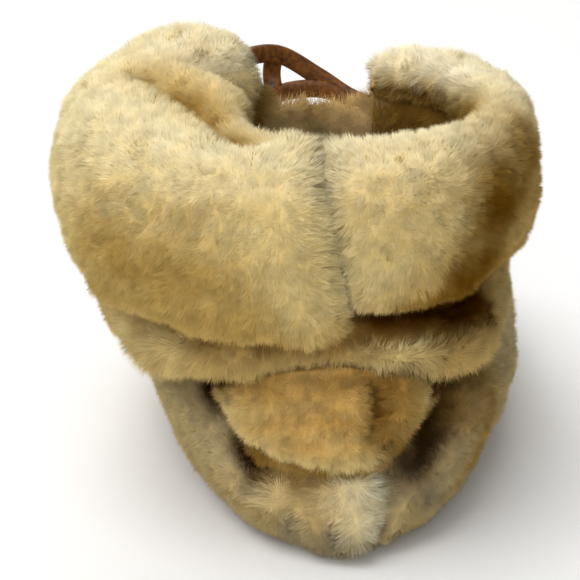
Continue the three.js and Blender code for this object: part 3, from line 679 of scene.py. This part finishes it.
def fleece(coat, base, still, room, wool_share, tint, seed):
    """Fibres on a base piece, as one mesh of narrow blades that lie over and gather into small locks."""
    spec = FLEECE[coat]
    count = spec.fibres
    rng = np.random.default_rng(SEED + seed)
    places, normals, faces = arrays(base.data)
    combed = lay_of(coat, still, seed)
    longer = growth(coat, still)

    corner = places[faces]
    area = 0.5 * np.linalg.norm(np.cross(corner[:, 1] - corner[:, 0], corner[:, 2] - corner[:, 0]), axis=1)
    density = np.where(corner.mean(1)[:, 1] > FRONT_FROM, spec.front, 1.0)
    density *= (room[faces].mean(1) > spec.clear * MM) * (wool_share[faces].mean(1) > WOOLLY)
    pick, share = scattered(area * density, count, rng)

    def at(values):
        picked = values[faces[pick]]
        if values.ndim == 1:
            return (picked * share).sum(1)
        return (picked * share[:, :, None]).sum(1)

    root_at = at(places)
    normal = unit(at(normals))
    free = np.clip(at(room) / REACH, SHORTEST, 1) * at(longer)
    way = at(combed) + STRAY * rng.normal(size=(count, 3))
    lay = unit(way - normal * np.einsum("ij,ij->i", way, normal)[:, None])
    lean = spec.lean * varied(count, LEANS, rng)
    length = spec.length * MM * varied(count, LENGTHS, rng) * free
    tip_at = root_at + (normal + lay * lean[:, None]) * (length / np.sqrt(1 + lean**2))[:, None]

    # Tips gather towards the middle of their lock, and each lock has a shade and a tilt of its own
    locks = int(area[density > 0].sum() / (spec.lock * MM * MM))
    centres = rng.choice(count, locks, replace=False)
    lock = nearest_of(root_at[centres], places)[faces[pick, np.argmax(share, 1)]]
    gather = GATHER * rng.random(count)
    tip_at += (tip_at[centres][lock] - tip_at) * gather[:, None]
    tip_at[:, 2] = np.maximum(tip_at[:, 2], FLOOR_GAP)
    lock_shade = (1 + spec.uneven * (2 * rng.random(locks) - 1))[lock]
    soft = unit(normal + LOCK_TILT * rng.normal(size=(locks, 3))[lock])

    half_width = 0.5 * spec.width * MM * varied(count, WIDTHS, rng)
    across = unit(np.cross(unit(tip_at - root_at), normal)) * half_width[:, None]
    start_at = root_at - normal * ROOT_DEPTH
    points = np.stack([start_at - across, start_at + across, tip_at], 1)
    shade = (lock_shade * varied(count, SHADES, rng))[:, None] * at(tint)
    colours = np.stack([ROOT_PAINTED_SHADE * shade, ROOT_PAINTED_SHADE * shade, TIP_SHADE * shade], 1)
    mesh = polygons(coat + "_fleece", points.reshape(-1, 3), np.arange(3 * count).reshape(-1, 3))
    set_colours(mesh, np.clip(colours, 0, 1).reshape(-1, 3))
    mesh.normals_split_custom_set_from_vertices(np.repeat(soft, 3, 0).tolist())
    piece = link(coat + "_fleece", mesh)
    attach(piece, "root")
    return piece


def material(name):
    made = bpy.data.materials.new(name)
    made.use_nodes = True
    nodes = made.node_tree.nodes
    return made, nodes, made.node_tree.links, nodes["Principled BSDF"]


def set_inputs(node, values):
    for name, value in values.items():
        node.inputs[name].default_value = value


def wool_material(name):
    """Wool coloured by the fibres' own tint, mottled by noise."""
    made, nodes, links, shader = material(name)
    tint = nodes.new("ShaderNodeAttribute")
    tint.attribute_name = "wool"
    place = nodes.new("ShaderNodeTexCoord")
    mottle = nodes.new("ShaderNodeTexNoise")
    set_inputs(mottle, {"Scale": 300.0, "Detail": 4.0})
    spread = nodes.new("ShaderNodeMapRange")
    set_inputs(spread, {"From Min": 0.3, "From Max": 0.7, "To Min": 0.85, "To Max": 1.1})
    mix = nodes.new("ShaderNodeMix")
    mix.data_type = "RGBA"
    mix.blend_type = "MULTIPLY"
    set_inputs(mix, {"Factor": 1.0})
    links.new(place.outputs["Object"], mottle.inputs["Vector"])
    links.new(mottle.outputs["Fac"], spread.inputs["Value"])
    links.new(tint.outputs["Color"], mix.inputs["A"])
    links.new(spread.outputs["Result"], mix.inputs["B"])
    links.new(mix.outputs["Result"], shader.inputs["Base Color"])
    set_inputs(shader, {"Roughness": 0.95, "Specular IOR Level": 0.0})
    return made


def grained_material(name, dark, light, scale, roughness, specular):
    """Leather or suede: two tones in a fine grain, with a low bump."""
    made, nodes, links, shader = material(name)
    place = nodes.new("ShaderNodeTexCoord")
    grain = nodes.new("ShaderNodeTexNoise")
    set_inputs(grain, {"Scale": scale, "Detail": 6.0})
    tones = nodes.new("ShaderNodeValToRGB")
    for stop, position, tone in zip(tones.color_ramp.elements, (0.3, 0.72), (dark, light)):
        stop.position = position
        stop.color = (*tone, 1)
    bump = nodes.new("ShaderNodeBump")
    set_inputs(bump, {"Strength": 0.25, "Distance": 0.3 * MM})
    links.new(place.outputs["Object"], grain.inputs["Vector"])
    links.new(grain.outputs["Fac"], tones.inputs["Fac"])
    links.new(tones.outputs["Color"], shader.inputs["Base Color"])
    links.new(grain.outputs["Fac"], bump.inputs["Height"])
    links.new(bump.outputs["Normal"], shader.inputs["Normal"])
    set_inputs(shader, {"Roughness": roughness, "Specular IOR Level": specular})
    return made


def strap(route, steps=10, corners=12):
    """Points and faces of a flat thong along a smooth route, its width upright."""
    knots = np.array(route, float) * MM
    ends = np.concatenate([[2 * knots[0] - knots[1]], knots, [2 * knots[-1] - knots[-2]]])
    path = []
    for a, b, c, d in zip(ends, ends[1:], ends[2:], ends[3:]):
        for t in np.linspace(0, 1, steps, endpoint=False):
            path.append(0.5 * (2 * b + (c - a) * t + (2 * a - 5 * b + 4 * c - d) * t**2
                               + (3 * b - a - 3 * c + d) * t**3))
    path = np.array(path + [knots[-1]])
    along = unit(np.gradient(path, axis=0))
    upright = np.where(np.abs(along[:, 2:]) > STEEP, np.array((1.0, 0, 0)), np.array((0, 0, 1.0)))
    flat = unit(np.cross(along, upright))
    wide = np.cross(flat, along)
    turn = 2 * np.pi * (np.arange(corners) + 0.5) / corners
    side = np.sign(np.cos(turn)) * np.abs(np.cos(turn)) ** SIDE_ROUND
    face = np.sign(np.sin(turn)) * np.abs(np.sin(turn)) ** FACE_ROUND
    ring = wide[:, None] * side[:, None] * THONG_WIDTH / 2 + flat[:, None] * face[:, None] * THONG_THICKNESS / 2
    points = (path[:, None] + ring).reshape(-1, 3)
    i, j = np.meshgrid(np.arange(len(path) - 1), np.arange(corners), indexing="ij")
    a, b = i * corners + j, i * corners + (j + 1) % corners
    quads = np.stack([a, b, b + corners, a + corners], -1).reshape(-1, 4)
    return points, quads


def lace_piece():
    """The thong: two bars and the short pass between them, in one mesh."""
    points, quads = [], []
    for route in (UPPER_BAR, LOWER_BAR, EDGE_PASS):
        more, faces = strap(route)
        quads.append(faces + sum(len(p) for p in points))
        points.append(more)
    mesh = polygons("thong", np.concatenate(points), np.concatenate(quads))
    piece = link("thong", mesh)
    mesh.materials.append(grained_material("thong leather", **THONG_LEATHER))
    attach(piece, "root")
    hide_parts("lace")


def slipper():
    """The suede sole, the wool pieces with their fleeces, and the thong."""
    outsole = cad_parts["outsole"].data
    outsole.materials.clear()
    outsole.materials.append(grained_material("sole suede", **SOLE_SUEDE))
    for seed, (node_name, slot) in enumerate(WOOL_SLOTS.items()):
        base, room, still = base_piece(node_name)
        places, normals, _ = arrays(base.data)
        colour = np.tile(np.array(TINTS["suede"]), (len(places), 1))
        pieces = [base]
        for coat, share in coats(node_name, places, normals).items():
            tint = tint_of(coat, still, normals, seed)
            # The base takes each coat's tint painted darker: painted shade under the fibres
            colour += (ROOT_PAINTED_SHADE * tint - colour) * share[:, None]
            pieces.append(fleece(coat, base, still, room, share, tint, seed))
        set_colours(base.data, colour)
        for piece in pieces:
            piece.data.materials.append(wool_material(piece.name + " wool"))
    lace_piece()


def studio_sky():
    """A world that is brighter above and darker at the right."""
    world = bpy.data.worlds.new("studio")
    world.use_nodes = True
    nodes, links = world.node_tree.nodes, world.node_tree.links
    sky = nodes["Background"]
    set_inputs(sky, {"Color": SKY_TINT})
    towards = nodes.new("ShaderNodeTexCoord")
    split = nodes.new("ShaderNodeSeparateXYZ")
    brighter_above = nodes.new("ShaderNodeMapRange")
    set_inputs(brighter_above, {"To Min": SKY_LEVEL, "To Max": SKY_ABOVE})
    darker_right = nodes.new("ShaderNodeMapRange")
    set_inputs(darker_right, {"From Min": -1.0, "To Min": SKY_LEFT, "To Max": SKY_RIGHT})
    strength = nodes.new("ShaderNodeMath")
    strength.operation = "MULTIPLY"
    links.new(towards.outputs["Generated"], split.inputs["Vector"])
    links.new(split.outputs["Z"], brighter_above.inputs["Value"])
    links.new(split.outputs["X"], darker_right.inputs["Value"])
    links.new(brighter_above.outputs["Result"], strength.inputs[0])
    links.new(darker_right.outputs["Result"], strength.inputs[1])
    links.new(strength.outputs["Value"], sky.inputs["Strength"])
    bpy.context.scene.world = world


def studio_floor():
    half = FLOOR_HALF
    floor = link("floor", bpy.data.meshes.new("floor"))
    corners = [(-half, -half, 0), (half, -half, 0), (half, half, 0), (-half, half, 0)]
    floor.data.from_pydata(corners, [], [(0, 1, 2, 3)])
    made, _, _, shader = material("pale floor")
    set_inputs(shader, {"Base Color": FLOOR_TINT, "Roughness": FLOOR_ROUGHNESS})
    floor.data.materials.append(made)


def studio_lamps():
    for name, place, size, power in LAMPS:
        lamp = bpy.data.lights.new(name, "AREA")
        lamp.size = size
        lamp.energy = power
        holder = link(name, lamp)
        holder.location = place
        holder.rotation_euler = (LOOK_AT - Vector(place)).to_track_quat("-Z", "Y").to_euler()


def studio_camera():
    azimuth, elevation = math.radians(CAMERA["azimuth"]), math.radians(CAMERA["elevation"])
    back = Vector((math.sin(azimuth) * math.cos(elevation), -math.cos(azimuth) * math.cos(elevation),
                   math.sin(elevation)))
    lens = bpy.data.cameras.new("camera")
    lens.sensor_width = SENSOR
    lens.lens = SENSOR * CAMERA["distance"] / CAMERA["across"]
    lens.clip_start = CLIP_START
    camera = link("camera", lens)
    camera.location = LOOK_AT + back * CAMERA["distance"]
    camera.rotation_euler = (-back).to_track_quat("-Z", "Y").to_euler()
    bpy.context.scene.camera = camera


def studio():
    """A pale floor under a soft sky, a key light at the upper left with two fills, and the camera."""
    bpy.context.scene.view_settings.view_transform = "Standard"
    studio_sky()
    studio_floor()
    studio_lamps()
    studio_camera()


slipper()
studio()
